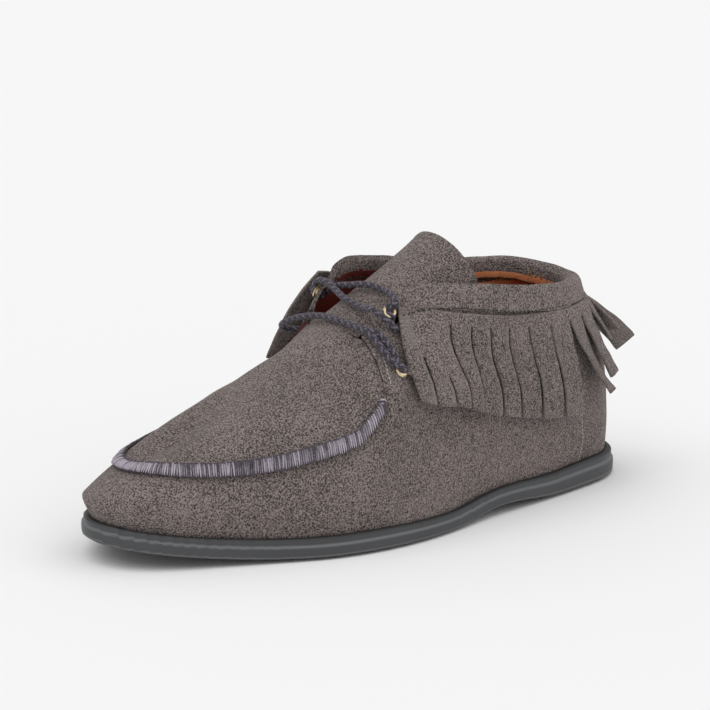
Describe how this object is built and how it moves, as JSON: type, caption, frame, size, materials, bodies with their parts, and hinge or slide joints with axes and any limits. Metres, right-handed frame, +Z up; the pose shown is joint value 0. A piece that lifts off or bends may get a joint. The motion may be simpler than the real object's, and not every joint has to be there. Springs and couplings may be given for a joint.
{
  "type": "ankle boot",
  "caption": "Left low ankle boot, empty and upright: soft moccasin-front upper, padded collar with cut fringe, round laces in ring eyelets, thin moulded sole.",
  "frame": {"origin": "middle of the heel's flat tread, on the floor", "axes": "+Z up, -Y along the foot towards the toe, +X to the wearer's left, the outer side of this left foot"},
  "size_m": [0.0987, 0.2653, 0.1124],
  "materials": {
    "suede": "matt napped grey-brown suede",
    "sole_rubber": "satin moulded dark grey rubber",
    "insole_leather": "smooth rust-coloured lining leather",
    "seam_thread": "satin-stitched thread with a soft gloss",
    "lace_cord": "round braided cord",
    "eyelet_brass": "pale brass, polished"
  },
  "bodies": {
    "root": {"outsole": "sole_rubber", "insole": "insole_leather", "upper": "suede", "tongue": "suede", "collar_band": "suede", "fringe": "suede", "apron_seam": "seam_thread", "lace_lower": "lace_cord", "lace_upper": "lace_cord", "eyelet_outer_lower": "eyelet_brass", "eyelet_outer_upper": "eyelet_brass", "eyelet_inner_lower": "eyelet_brass", "eyelet_inner_upper": "eyelet_brass"}
  },
  "joints": []
}
